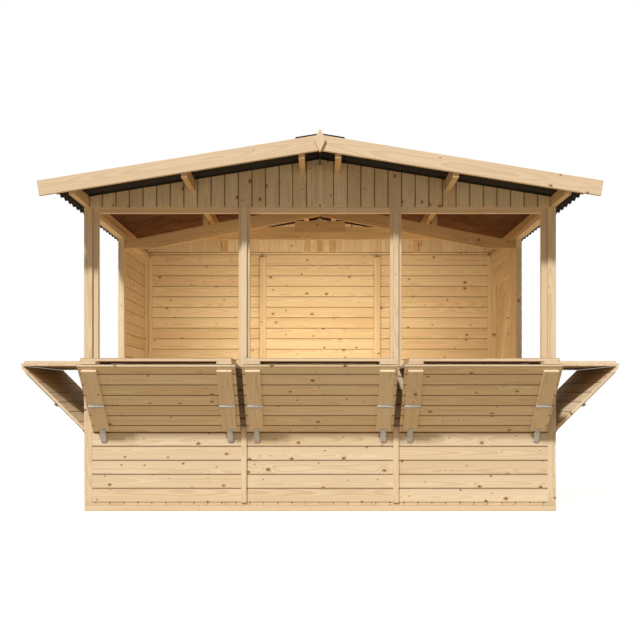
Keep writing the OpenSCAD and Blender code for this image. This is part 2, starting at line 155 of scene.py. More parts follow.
def pine(name, light, dark, knot_share):
    """Planed pine: growth rings cut through by each board, streaks, knots, and painted shade in
    the joints.
    """
    g = Graph(name)
    xyz = g.split(g.attribute("grain", "Vector"))
    tone = g.attribute("tone", "Fac")
    edge = g.attribute("edge", "Fac")

    # Knots: one chance in each cell of a stretched cell pattern
    along, over = KNOT_CELLS
    cell = g.vector(g.math("MULTIPLY", xyz[0], along), g.math("MULTIPLY", xyz[1], over), 0.0)
    cells = g.add("ShaderNodeTexVoronoi", {"Vector": cell, "Scale": 1.0, "Randomness": 0.9},
                  voronoi_dimensions="2D")
    place = g.split(cells.outputs["Position"])
    chance = g.split(cells.outputs["Color"])
    from_knot = (g.math("SUBTRACT", g.math("MULTIPLY", xyz[0], along), place[0]),
                 g.math("SUBTRACT", g.math("MULTIPLY", xyz[1], over), place[1]))
    dx = g.math("DIVIDE", from_knot[0], along * KNOT_STRETCH)
    dy = g.math("DIVIDE", from_knot[1], over)
    square = g.math("ADD", g.math("MULTIPLY", dx, dx), g.math("MULTIPLY", dy, dy))
    ragged = g.noise(g.stretch(xyz, 90, 90, 90), detail=1.0)
    wobble = g.math("ADD", 0.75, g.math("MULTIPLY", ragged, 0.5))
    away = g.math("MULTIPLY", g.math("SQRT", square), wobble)
    there = g.math("LESS_THAN", chance[0], knot_share)
    larger = g.math("MULTIPLY", g.math("POWER", chance[1], 1.8), KNOT_SPREAD)
    size = g.math("ADD", KNOT_MIN, larger)
    near = g.math("DIVIDE", away, size)
    knot = g.math("MULTIPLY", there, g.step(near, 1.12, 0.82))
    ring_round = g.math("MULTIPLY", there, g.step(near, 2.6, 0.9))
    swirl = g.math("MULTIPLY", there, g.math("POWER", 2.718, g.math("MULTIPLY", near, -0.42)))

    # Growth rings round a pith that lies off the board
    drift = g.noise(g.stretch(xyz, 0.7, 2.5, 2.5), detail=2.0)
    ripple = g.noise(g.stretch(xyz, 4.0, 30.0, 30.0), detail=2.0)
    shift = g.math("ADD", g.math("MULTIPLY", drift, 0.075), g.math("MULTIPLY", ripple, 0.0035))
    radius = g.math("SQRT", g.math("ADD", g.math("MULTIPLY", xyz[1], xyz[1]),
                                   g.math("MULTIPLY", xyz[2], xyz[2])))
    radius = g.math("ADD", g.math("ADD", radius, shift), g.math("MULTIPLY", swirl, 0.016))
    phase = g.math("FRACT", g.math("MULTIPLY", radius, RINGS))
    late = g.math("MULTIPLY", g.step(phase, 0.25, 0.86), g.step(phase, 1.0, 0.9))

    # Streaks and slow changes of colour along the board
    streak = g.noise(g.stretch(xyz, 0.9, 55.0, 55.0), detail=3.0)
    cloud = g.noise(g.stretch(xyz, 1.3, 9.0, 9.0), detail=2.0)
    fibre = g.noise(g.stretch(xyz, 18.0, 900.0, 900.0), detail=2.0)

    mixed = g.math("ADD", g.math("MULTIPLY", late, 0.34), g.math("MULTIPLY", streak, 0.42))
    mixed = g.math("ADD", mixed, g.math("MULTIPLY", cloud, 0.42))
    mixed = g.math("ADD", mixed, g.math("MULTIPLY", g.math("SUBTRACT", tone, 0.5), 0.3))
    mixed = g.math("ADD", mixed, g.math("MULTIPLY", fibre, 0.14))
    colour = g.mix(g.step(mixed, 0.18, 1.15), light, dark)
    warm = g.mix(g.step(g.noise(g.stretch(xyz, 0.5, 4.0, 4.0), detail=1.0), 0.45, 0.75, 0.0, 0.4),
                 colour, srgb(226, 186, 150))
    colour = g.mix(g.step(tone, 0.35, 0.95, 0.1, 0.6), colour, warm)
    colour = g.mix(g.math("MULTIPLY", ring_round, 0.5), colour, srgb(176, 126, 80))
    heart = g.mix(g.step(near, 0.15, 0.8), srgb(88, 52, 30), srgb(140, 92, 54))
    colour = g.mix(g.math("MULTIPLY", knot, 0.92), colour, heart)
    # Painted shade: the chamfers at the boards' joints and broken ends are darkened like the
    # shadow in a groove.
    colour = g.mix(g.math("MULTIPLY", edge, 0.7), colour, srgb(112, 78, 44))

    relief = g.math("ADD", g.math("MULTIPLY", late, 0.6), g.math("MULTIPLY", fibre, 0.8))
    relief = g.math("SUBTRACT", relief, g.math("MULTIPLY", knot, 0.7))
    rough = g.math("SUBTRACT", g.step(streak, 0.3, 0.7, 0.5, 0.68), g.math("MULTIPLY", knot, 0.14))
    return g.finish(Base_Color=colour, Roughness=rough, Normal=g.bump(relief, 0.35 * MM, 0.5))


def bitumen(name):
    """Fibre-bitumen sheet: rough black with paler dust on the crests; brown painted light inside.
    """
    g = Graph(name)
    here = g.add("ShaderNodeTexCoord").outputs["Object"]
    grit = g.noise(here, 900.0, 3.0, 0.7)
    blotch = g.noise(here, 7.0, 4.0, 0.6)
    crest = g.attribute("edge", "Fac")
    painted_indoor_light = g.attribute("tone", "Fac")
    colour = g.mix(g.step(blotch, 0.35, 0.7), srgb(30, 25, 23), srgb(44, 37, 33))
    dust = g.math("MULTIPLY", g.math("MULTIPLY", crest, g.step(grit, 0.4, 0.65)), 0.35)
    colour = g.mix(dust, colour, srgb(92, 82, 74))
    # Painted light: under the roof inside, the black sheet is painted brown for the warm light
    # there.
    painted_light_brown = g.mix(g.step(blotch, 0.3, 0.7), srgb(112, 70, 38), srgb(98, 60, 32))
    colour = g.mix(painted_indoor_light, colour, painted_light_brown)
    rough = g.step(blotch, 0.3, 0.75, 0.72, 0.92)
    return g.finish(Base_Color=colour, Roughness=rough, Normal=g.bump(grit, 0.6 * MM, 0.6))


def zinc(name):
    """Galvanised steel: large pale crystals, fine scratches and dull patches."""
    g = Graph(name)
    here = g.add("ShaderNodeTexCoord").outputs["Object"]
    crystals = g.add("ShaderNodeTexVoronoi", {"Vector": here, "Scale": 160.0}).outputs["Color"]
    pick = g.split(crystals)[0]
    patch = g.noise(here, 30.0, 3.0)
    scratch = g.noise(g.stretch(g.split(here), 60, 60, 1200), detail=2.0)
    colour = g.mix(pick, srgb(186, 187, 188), srgb(208, 209, 210))
    colour = g.mix(g.step(patch, 0.5, 0.75, 0.0, 0.4), colour, srgb(150, 146, 140))
    rough = g.math("ADD", g.math("MULTIPLY", pick, 0.12), g.step(patch, 0.35, 0.7, 0.34, 0.5))
    return g.finish(Base_Color=colour, Metallic=0.3, Roughness=rough,
                    Normal=g.bump(scratch, 0.08 * MM, 0.35))


PALE = pine("pine_walls", srgb(238, 219, 189), srgb(213, 186, 148), 0.85)
FRAME_WOOD = pine("pine_frame", srgb(236, 217, 186), srgb(214, 186, 148), 0.35)
FASCIA = pine("pine_fascia", srgb(234, 213, 182), srgb(216, 188, 154), 0.35)
CARCASS = pine("pine_carcass", srgb(220, 190, 146), srgb(190, 152, 108), 0.4)
FLOOR = pine("pine_floor", srgb(232, 208, 172), srgb(206, 176, 136), 0.5)
ROOFING = bitumen("bitumen_sheet")
METAL = zinc("galvanised_steel")


# ---------------------------------------------------------------- meshes

class Piece:
    """Collects many small solids into one mesh, with the grain of each as attributes."""

    def __init__(self):
        self.points = []
        self.faces = []
        self.grain = []
        self.tone = []
        self.edge = []
        self.smooth = []

    def take(self, bm, grain_of, tone, shade_or_dust_faces=(), smooth=False):
        """Adds a solid. Its tone is a number, or a function of the vertex."""
        bm.verts.index_update()
        start = len(self.points)
        for v in bm.verts:
            self.points.append(v.co.copy())
            self.grain.append(grain_of(v.co))
            self.tone.append(tone(v) if callable(tone) else tone)
        for f in bm.faces:
            self.faces.append([start + v.index for v in f.verts])
            # Marked faces: painted shade at the pine's joints, dust on the roof sheet's crests.
            self.edge.append(1.0 if f in shade_or_dust_faces else 0.0)
            self.smooth.append(smooth)
        bm.free()

    def make(self, name, body, slot, material, *nodes):
        """The object, riding on its body in place of the CAD nodes."""
        mesh = bpy.data.meshes.new(name)
        mesh.from_pydata(self.points, [], self.faces)
        flat = [c for g in self.grain for c in g]
        mesh.attributes.new("grain", "FLOAT_VECTOR", "POINT").data.foreach_set("vector", flat)
        mesh.attributes.new("tone", "FLOAT", "POINT").data.foreach_set("value", self.tone)
        mesh.attributes.new("edge", "FLOAT", "FACE").data.foreach_set("value", self.edge)
        mesh.polygons.foreach_set("use_smooth", self.smooth)
        mesh.materials.append(material)
        piece = bpy.data.objects.new(name, mesh)
        bpy.context.scene.collection.objects.link(piece)
        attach(piece, body)
        if nodes:
            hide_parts(*nodes)
        return piece


def islands(node):
    """The separate solids of a CAD node, each as a clean bmesh, ordered by place."""
    whole = bmesh.new()
    whole.from_mesh(frame["nodes"][node].data)
    bmesh.ops.remove_doubles(whole, verts=whole.verts, dist=0.02 * MM)
    bmesh.ops.dissolve_limit(whole, angle_limit=math.radians(0.6), verts=whole.verts,
                             edges=whole.edges)
    whole.faces.index_update()
    seen = set()
    parts = []
    for face in whole.faces:
        if face.index in seen:
            continue
        seen.add(face.index)
        group, todo = [], [face]
        while todo:
            f = todo.pop()
            group.append(f)
            for e in f.edges:
                for other in e.link_faces:
                    if other.index not in seen:
                        seen.add(other.index)
                        todo.append(other)
        part = bmesh.new()
        made = {}
        for f in group:
            for v in f.verts:
                if v not in made:
                    made[v] = part.verts.new(v.co)
            part.faces.new([made[v] for v in f.verts])
        bmesh.ops.recalc_face_normals(part, faces=part.faces)
        parts.append(part)
    whole.free()
    parts.sort(key=lambda p: tuple(round(c, 4) for c in centre_of(p)))
    return parts


def centre_of(bm):
    total = Vector()
    for v in bm.verts:
        total += v.co
    return total / len(bm.verts)


def longest_edge(bm):
    e = max(bm.edges, key=lambda e: e.calc_length())
    return (e.verts[1].co - e.verts[0].co).normalized()


def widest_normal(bm, run):
    sides = [f for f in bm.faces if abs(f.normal.dot(run)) < 0.3]
    return max(sides, key=lambda f: f.calc_area()).normal.copy()


def grain_frame(bm, run, flat):
    """A function from a point to its place in the board that it was sawn with."""
    over = flat.cross(run).normalized()
    middle = centre_of(bm)
    start = rng.uniform(0, 60)
    side = rng.uniform(-0.03, 0.03)
    pith = rng.choice((-1, 1)) * rng.uniform(0.02, 0.085)

    def place(p):
        d = p - middle
        return (d.dot(run) + start, d.dot(over) + side, d.dot(flat) + pith)
    return place


def chamfer(bm, edges, width):
    """Bevels the edges, and gives back the faces that this makes."""
    if not edges:
        return []
    made = bmesh.ops.bevel(bm, geom=list(edges), offset=width, offset_type="OFFSET", segments=1,
                           profile=0.5, affect="EDGES", clamp_overlap=True)
    return [f for f in made["faces"] if f.is_valid]


def timber(piece, bm, run, arris):
    """One sawn timber with rubbed edges."""
    run = run or longest_edge(bm)
    place = grain_frame(bm, run, widest_normal(bm, run))
    sharp = [e for e in bm.edges if e.is_manifold and e.calc_face_angle(0) > 0.2]
    chamfer(bm, sharp, arris)
    piece.take(bm, place, rng.random())


def slices(bm, across, cover, origin, gap):
    """The solid sawn by parallel planes, one cover apart, with a gap after each board."""
    reach = [v.co.dot(across) for v in bm.verts]
    low, high = min(reach), max(reach)
    cut = origin + math.floor((low - origin) / cover + 1e-6) * cover
    while cut < high - 0.5 * MM:
        a, b = max(cut, low), min(cut + cover - gap, high)
        cut += cover
        if b - a < 1.5 * MM:
            continue
        board = bm.copy()
        for at, normal in ((a, -across), (b, across)):
            if low + 1e-6 < at < high - 1e-6:
                geom = board.verts[:] + board.edges[:] + board.faces[:]
                done = bmesh.ops.bisect_plane(board, geom=geom, dist=1e-6, plane_co=across * at,
                                              plane_no=normal, clear_outer=True)
                rim = [e for e in done["geom_cut"] if isinstance(e, bmesh.types.BMEdge)]
                bmesh.ops.edgeloop_fill(board, edges=rim)
        bmesh.ops.recalc_face_normals(board, faces=board.faces)
        if board.faces:
            yield board


def boards(piece, bm, run, across, outer, origin, cover=COVER, gap=0.0, ends=0.0):
    """A slab sawn into matched boards with a V joint on both faces, and their inner ends
    broken where a width is given; the faces of these chamfers carry painted shade."""
    for board in slices(bm, across, cover, origin, gap):
        place = grain_frame(board, run, outer)
        tone = rng.random()
        shade_or_dust_faces = []
        # The joints' chamfers are kept for the painted shade in the joints.
        for sign, width in ((1, GROOVE_OUT), (-1, GROOVE_IN)):
            long_edges = []
            for e in board.edges:
                if len(e.link_faces) != 2 or e.calc_length() < 12 * MM:
                    continue
                if abs((e.verts[1].co - e.verts[0].co).normalized().dot(run)) < 0.98:
                    continue
                facing = [f.normal.dot(outer) * sign for f in e.link_faces]
                siding = [abs(f.normal.dot(across)) for f in e.link_faces]
                if max(facing) > 0.98 and max(siding) > 0.98:
                    long_edges.append(e)
            shade_or_dust_faces += chamfer(board, long_edges, width)
        if ends:
            cross = [e for e in board.edges if len(e.link_faces) == 2
                     and max(abs(f.normal.dot(run)) for f in e.link_faces) > 0.98
                     and min(f.normal.dot(outer) for f in e.link_faces) < -0.98]
            shade_or_dust_faces += chamfer(board, cross, ends)
        shade_or_dust_faces = {f for f in shade_or_dust_faces if f.is_valid}
        piece.take(board, place, tone, shade_or_dust_faces)
    bm.free()


def timber_node(node, material, run=None, body="hut", slot="pine", arris=ARRIS):
    """A CAD node as sawn timbers, with the grain along their length or a given direction."""
    piece = Piece()
    for part in islands(node):
        timber(piece, part, run, arris)
    return piece.make(node + ".timber", body, slot, material, node)


def board_node(node, material, run, across, outer_of, origin, body="hut", slot="pine",
               cover=COVER, gap=0.0, ends=0.0):
    """A CAD node sawn into boards, with a joint at the origin's place across them."""
    piece = Piece()
    for part in islands(node):
        boards(piece, part, run, across, outer_of(centre_of(part)), origin, cover, gap, ends)
    return piece.make(node + ".boards", body, slot, material, node)


def box_mesh(lo, hi):
    """A box between two corners."""
    bm = bmesh.new()
    size = Vector(hi) - Vector(lo)
    middle = (Vector(lo) + Vector(hi)) / 2
    place = Matrix.Translation(middle) @ Matrix.Diagonal((*size, 1))
    bmesh.ops.create_cube(bm, size=1, matrix=place)
    return bm


def nowhere(p):
    """The grain of a piece that has none."""
    return tuple(p)


def metal_part(piece, bm, turn=None, soft=0.5 * MM):
    """A steel part with broken edges."""
    if turn is not None:
        bmesh.ops.transform(bm, matrix=turn, verts=bm.verts)
    sharp = [e for e in bm.edges if e.is_manifold and e.calc_face_angle(0) > 0.6]
    chamfer(bm, sharp, soft)
    piece.take(bm, nowhere, 0.5)


def lathe(profile, sides):
    """A round solid from (radius, height) pairs, about Z."""
    bm = bmesh.new()
    rings = []
    for r, h in profile:
        if r < 1e-6:
            rings.append([bm.verts.new((0, 0, h))])
            continue
        turns = [2 * math.pi * i / sides for i in range(sides)]
        rings.append([bm.verts.new((r * math.cos(a), r * math.sin(a), h)) for a in turns])
    for low, high in zip(rings, rings[1:]):
        for i in range(sides):
            j = (i + 1) % sides
            if len(low) == 1:
                bm.faces.new((low[0], high[i], high[j]))
            elif len(high) == 1:
                bm.faces.new((low[i], low[j], high[0]))
            else:
                bm.faces.new((low[i], low[j], high[j], high[i]))
    for ring in (rings[0], rings[-1]):
        if len(ring) > 1:
            bm.faces.new(ring if ring is rings[-1] else ring[::-1])
    bmesh.ops.recalc_face_normals(bm, faces=bm.faces)
    return bm


def facing(point, normal):
    """A matrix that stands Z on a surface point."""
    return Matrix.Translation(point) @ Vector(normal).to_track_quat("Z", "Y").to_matrix().to_4x4()


def screw(piece, point, normal, radius=3.6 * MM, proud=0.5 * MM):
    """A screw head, sunk a little, with its round recess."""
    profile = [(radius, -1 * MM), (radius, proud * 0.4), (radius * 0.86, proud),
               (radius * 0.4, proud), (radius * 0.3, -0.6 * MM), (0, -0.6 * MM)]
    bm = lathe(profile, 10)
    bmesh.ops.transform(bm, matrix=facing(point, normal), verts=bm.verts)
    piece.take(bm, nowhere, 0.5, smooth=False)


def plate_mesh(outline, thickness):
    """A flat plate from an outline in X-Y, with its back face at Z = 0."""
    bm = bmesh.new()
    low = [bm.verts.new((x, y, 0)) for x, y in outline]
    high = [bm.verts.new((x, y, thickness)) for x, y in outline]
    bm.faces.new(low[::-1])
    bm.faces.new(high)
    n = len(outline)
    for i in range(n):
        j = (i + 1) % n
        bm.faces.new((low[i], low[j], high[j], high[i]))
    return bm


# ---------------------------------------------------------------- floor and walls

floor_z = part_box("floor_deck")[1].z

timber_node("floor_bearers", FRAME_WOOD, slot="timber", arris=3 * MM)
board_node("floor_deck", FLOOR, Y, X, lambda c: Z, 0.0, slot="timber", gap=DECK_GAP)

board_node("front_wall", PALE, X, Z, lambda c: -Y, floor_z)
board_node("back_wall", PALE, X, Z, lambda c: Y, floor_z + BACK_LIFT)
for side_wall in ("left_wall", "right_wall", "over_door_wall"):
    board_node(side_wall, PALE, Y, Z, lambda c: X if c.x > 0 else -X, floor_z)

for frame_node in ("front_posts", "front_rails", "back_posts", "back_rails", "side_posts",
                   "side_rails", "door_jambs", "door_head", "window_facings",
                   "post_strips", "panel_strips", "gable_strips"):
    timber_node(frame_node, FRAME_WOOD)
timber_node("gable_studs", CARCASS, Z)

board_node("front_gable", PALE, Z, X, lambda c: -Y, 0.0, cover=GABLE_COVER)
board_node("back_gable", PALE, Z, X, lambda c: Y, 0.0, cover=GABLE_COVER, ends=GABLE_FOOT)

for beam in ("eave_purlins", "middle_purlins", "ridge_purlins", "truss_rafters", "truss_tie",
             "splice_plates", "truss_cleats"):
    timber_node(beam, CARCASS, slot="timber")
for trim in ("front_bargeboards", "back_bargeboards"):
    timber_node(trim, FASCIA, arris=2 * MM)
timber_node("finials", FASCIA, Z, arris=2 * MM)


# ---------------------------------------------------------------- counters

def out_of(c):
    """The way out from the hut at a counter: the front, or a side."""
    if c.y < -1.0 and abs(c.x) < 1.5:
        return -Y
    return X if c.x > 0 else -X


def counter_boards(node):
    """Boards along each leaf, laid from its outer edge towards the wall."""
    piece = Piece()
    for part in islands(node):
        out = out_of(centre_of(part))
        run = X if out.y else Y
        outer = widest_normal(part, run)
        if outer.z > 0.1 and node == "support_leaves":
            outer = -outer
        across = outer.cross(run).normalized()
        if across.z < -0.1 or (abs(across.z) < 0.1 and across.dot(out) < 0):
            across = -across
        origin = max(v.co.dot(across) for v in part.verts)
        if node == "support_leaves":
            origin -= FIRST_BOARD
        boards(piece, part, run, across, outer, origin)
    return piece.make(node + ".boards", "hut", "pine", PALE, node)


for leaf in ("counter_leaves", "support_leaves", "counter_tops"):
    counter_boards(leaf)
for batten in ("counter_battens", "support_battens"):
    timber_node(batten, FRAME_WOOD, arris=1.8 * MM)


# ---------------------------------------------------------------- roof

def roof_sheet(node, side):
    """A corrugated sheet with a round wave, as thick as the CAD sheet."""
    lo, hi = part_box(node)
    start, end = (lo.x, hi.x) if side > 0 else (hi.x, lo.x)
    mesh = frame["nodes"][node].data
    ridge_row = [v.co for v in mesh.vertices if abs(v.co.x - start) < 20 * MM]
    eave_row = [v.co for v in mesh.vertices if abs(v.co.x - end) < 20 * MM]
    top = (max(ridge_row, key=lambda c: c.z), max(eave_row, key=lambda c: c.z))
    low = (min(ridge_row, key=lambda c: c.z), min(eave_row, key=lambda c: c.z))
    down = (top[1] - top[0])
    down.y = 0
    length = down.length
    down.normalize()
    up = Vector((-down.z * side, 0, down.x * side)).normalized()
    height = (top[0] - low[0]).dot(up)
    swing = (height - SHEET_T) / 2
    waves = round((hi.y - lo.y) / WAVE)
    pitch = (hi.y - lo.y) / waves
    base = Vector((low[0].x, 0, low[0].z))
    steps = 12
    # Rows down the slope, with two close ones where the sheet passes over the wall
    spread = 12
    wall = (abs(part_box("left_wall")[0].x) - abs(base.x)) / abs(down.x)
    stops = [length * r / spread for r in range(spread + 1)]
    stops = sorted(stops + [wall - 20 * MM, wall - 10 * MM])
    rows = len(stops) - 1
    bm = bmesh.new()
    grid = []
    for layer in (0, 1):
        rows_made = []
        for r in range(rows + 1):
            line = []
            for i in range(waves * steps + 1):
                angle = 2 * math.pi * i / steps
                lift = SHEET_T / 2 + swing * (1 - math.cos(angle)) + (layer - 0.5) * SHEET_T
                point = base + down * stops[r] + up * lift
                point.y = lo.y + pitch * i / steps
                line.append(bm.verts.new(point))
            rows_made.append(line)
        grid.append(rows_made)
    count = waves * steps
    for r in range(rows):
        for i in range(count):
            a, b = grid[0], grid[1]
            bm.faces.new((a[r][i], a[r][i + 1], a[r + 1][i + 1], a[r + 1][i]))
            bm.faces.new((b[r][i], b[r + 1][i], b[r + 1][i + 1], b[r][i + 1]))
    for i in range(count):
        for r in (0, rows):
            bm.faces.new((grid[0][r][i], grid[1][r][i], grid[1][r][i + 1], grid[0][r][i + 1]))
    for r in range(rows):
        for i in (0, count):
            bm.faces.new((grid[0][r][i], grid[0][r + 1][i], grid[1][r + 1][i], grid[1][r][i]))
    bmesh.ops.recalc_face_normals(bm, faces=bm.faces)
    crests = {f for f in bm.faces if f.normal.dot(up) > 0.9}
    # The underside over the room is marked for the sheet's painted brown light.
    room_lo, room_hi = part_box("floor_deck")
    painted_indoor_light = {v for row in grid[0] for v in row
               if room_lo.x + 15 * MM < v.co.x < room_hi.x - 15 * MM
               and room_lo.y + 10 * MM < v.co.y < room_hi.y - 10 * MM}
    piece = Piece()
    piece.take(bm, nowhere, lambda v: 1.0 if v in painted_indoor_light else 0.0, crests, smooth=True)

    # Fixings with round caps on every other crest, over each purlin
    half_purlin = 18 * MM
    rows_at = [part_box(beam)[1].x - half_purlin for beam in ("eave_purlins", "middle_purlins")]
    for x in rows_at + [RIDGE_FIXING]:
        along = (x - abs(base.x)) / abs(down.x)
        for k in range(1, waves, 2):
            point = base + down * along + up * (height - 0.4 * MM)
            point.y = lo.y + pitch * (k + 0.5)
            dome = [(11 * MM, 0), (11 * MM, 1.6 * MM), (9 * MM, 4 * MM), (4 * MM, 5.6 * MM),
                    (0, 6 * MM)]
            cap = lathe(dome, 14)
            bmesh.ops.transform(cap, matrix=facing(point, up), verts=cap.verts)
            piece.take(cap, nowhere, 0.0, smooth=True)
    return piece.make(node + ".sheet", "hut", "roofing", ROOFING, node)


roof_sheet("roof_sheet_left", -1)
roof_sheet("roof_sheet_right", 1)

cap_piece = Piece()
for cap_part in islands("ridge_cap"):
    cap_edges = [e for e in cap_part.edges if e.is_manifold and e.calc_face_angle(0) > 0.1]
    chamfer(cap_part, cap_edges, 0.8 * MM)
    cap_piece.take(cap_part, nowhere, 0.0)
cap_piece.make("ridge_cap.sheet", "hut", "roofing", ROOFING, "ridge_cap")


# ---------------------------------------------------------------- door

door_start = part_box("door_boards")[0].y
board_node("door_boards", PALE, Z, Y, lambda c: X, door_start, body="door")
timber_node("door_ledges", FRAME_WOOD, body="door", arris=2 * MM)
timber_node("door_braces", FRAME_WOOD, body="door", arris=2 * MM)

hinge = next(j for j in frame["joints"] if j["name"] == "door_hinge")
pin = Vector(hinge["pos_m"])


def spans(node, axis):
    """The low and high ends of each solid of a node, along one axis."""
    found = []
    for part in islands(node):
        reach = [v.co[axis] for v in part.verts]
        found.append((min(reach), max(reach)))
        part.free()
    return sorted(set((round(a, 5), round(b, 5)) for a, b in found))


strap_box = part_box("door_straps")
strap_spans = spans("door_straps", 2)
plate_spans = spans("hinge_plates", 2)
face_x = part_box("right_wall")[1].x
knuckle_r = strap_box[1].x - pin.x
plate_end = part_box("hinge_plates")[1].y


def knuckle(piece, low, high):
    """One rolled knuckle round the hinge's pin."""
    profile = [(0, low), (knuckle_r * 0.9, low), (knuckle_r, low + 0.6 * MM),
               (knuckle_r, high - 0.6 * MM), (knuckle_r * 0.9, high), (0, high)]
    bm = lathe(profile, 20)
    bmesh.ops.translate(bm, vec=(pin.x, pin.y, 0), verts=bm.verts)
    piece.take(bm, nowhere, 0.5, smooth=False)


straps = Piece()
plates = Piece()
for low, high in strap_spans:
    middle = (low + high) / 2
    tip_y, root_y = strap_box[0].y, pin.y - knuckle_r * 0.6
    wide, narrow = (high - low) / 2, (high - low) / 2 * 0.55
    arc = [(tip_y + narrow - narrow * math.sin(a), middle + narrow * math.cos(a))
           for a in [math.pi * i / 8 for i in range(9)]]
    outline = [(root_y, middle + wide)] + arc + [(root_y, middle - wide)]
    strap = plate_mesh(outline, IRON_T)
    stand = Matrix(((0, 0, 1, face_x), (1, 0, 0, 0), (0, 1, 0, 0), (0, 0, 0, 1)))
    metal_part(straps, strap, stand)
    knuckle(straps, low, high)
    for k in range(5):
        y = tip_y + 18 * MM + k * (root_y - tip_y - 60 * MM) / 4
        screw(straps, Vector((face_x + IRON_T, y, middle)), X, 5 * MM, 1.2 * MM)
    outer_low, outer_high = min(plate_spans, key=lambda s: abs((s[0] + s[1]) / 2 - middle))
    back = box_mesh((face_x, pin.y + knuckle_r * 0.6, outer_low),
                    (face_x + IRON_T, plate_end, outer_high))
    metal_part(plates, back)
    knuckle(plates, outer_low, low - KNUCKLE_GAP)
    knuckle(plates, high + KNUCKLE_GAP, outer_high)
    for z in (outer_low + 14 * MM, middle, outer_high - 14 * MM):
        for y in (pin.y + 24 * MM, plate_end - 14 * MM):
            screw(plates, Vector((face_x + IRON_T, y, z)), X, 4.5 * MM, 1 * MM)
straps.make("door_straps.iron", "door", "galvanised", METAL, "door_straps")
plates.make("hinge_plates.iron", "hut", "galvanised", METAL, "hinge_plates")

latch_lo, latch_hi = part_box("door_latch")
latch = Piece()
metal_part(latch, box_mesh(latch_lo, (face_x + LATCH_T, latch_hi.y, latch_hi.z)))
for y in (latch_lo.y + 9 * MM, latch_hi.y - 9 * MM):
    for z in (latch_lo.z + 8 * MM, latch_hi.z - 8 * MM):
        screw(latch, Vector((face_x + LATCH_T, y, z)), X, 3.2 * MM, 0.8 * MM)

# The bolt lies along the plate, under two keepers
bolt_z = (latch_lo.z + latch_hi.z) / 2
bolt_len = latch_hi.y - latch_lo.y - 4 * MM
bolt = lathe([(0, 0), (2.6 * MM, 0), (2.9 * MM, 0.5 * MM), (2.9 * MM, bolt_len - 0.5 * MM),
              (2.4 * MM, bolt_len), (0, bolt_len)], 14)
bolt_start = (face_x + 4.9 * MM, latch_lo.y + 2 * MM, bolt_z)
bmesh.ops.transform(bolt, matrix=facing(bolt_start, Y), verts=bolt.verts)
latch.take(bolt, nowhere, 0.5, smooth=True)
for y in (latch_lo.y + 22 * MM, latch_hi.y - 22 * MM):
    metal_part(latch, box_mesh((face_x + 2 * MM, y - 5 * MM, bolt_z - 5.5 * MM),
                               (face_x + 7.9 * MM, y + 5 * MM, bolt_z + 5.5 * MM)))
latch.make("door_latch.iron", "door", "galvanised", METAL, "door_latch")


# ---------------------------------------------------------------- counter ironmongery

def frame_of(bm, run):
    """Centre, directions along, across and out of a flat solid, and its half sizes."""
    flat = widest_normal(bm, run)
    over = flat.cross(run).normalized()
    middle = centre_of(bm)
    half = [max(abs((v.co - middle).dot(d)) for v in bm.verts) for d in (run, over, flat)]
    return middle, run, over, flat, half


iron = Piece()
for part in islands("counter_straps"):
    out = out_of(centre_of(part))
    run = X if out.y else Y
    middle, run, down, flat, half = frame_of(part, run)
    if flat.dot(out) < 0:
        flat = -flat
    if down.z > 0:
        down = -down
    base = middle - flat * half[2]
    turn = Matrix.Translation(base) @ Matrix((run, down, flat)).transposed().to_4x4()
    wide, tall, thick = half
    metal_part(iron, box_mesh((-wide, -tall, 0), (wide, tall, 2 * thick)), turn, 1.2 * MM)
    for s in (-1, 1):
        screw(iron, turn @ Vector((s * wide * 0.6, 0, 2 * thick)), flat, 4.5 * MM, 1.2 * MM)
    part.free()
iron.make("counter_straps.iron", "hut", "galvanised", METAL, "counter_straps")


def staple(place):
    """A round wire loop that stands on the X-Y plane, open along Y."""
    bm = bmesh.new()
    half, height, wire = 7 * MM, 8 * MM, 2.2 * MM
    bend = [math.pi * i / 8 for i in range(9)]
    path = [Vector((half, 0, 0))]
    path += [Vector((half * math.cos(a), 0, height + half * math.sin(a))) for a in bend]
    path += [Vector((-half, 0, 0))]
    rings = []
    for k, point in enumerate(path):
        ahead = path[min(k + 1, len(path) - 1)] - path[max(k - 1, 0)]
        side = ahead.normalized().cross(Y)
        turns = [2 * math.pi * i / 8 for i in range(8)]
        rings.append([bm.verts.new(point + wire * (math.cos(a) * side + math.sin(a) * Y))
                      for a in turns])
    for a, b in zip(rings, rings[1:]):
        for i in range(8):
            j = (i + 1) % 8
            bm.faces.new((a[i], a[j], b[j], b[i]))
    for ring in (rings[0], rings[-1]):
        bm.faces.new(ring)
    bmesh.ops.recalc_face_normals(bm, faces=bm.faces)
    bmesh.ops.transform(bm, matrix=place, verts=bm.verts)
    return bm


def nearest(solids, point):
    """The solid whose centre is closest to a point."""
    return min(solids, key=lambda s: (centre_of(s) - point).length)


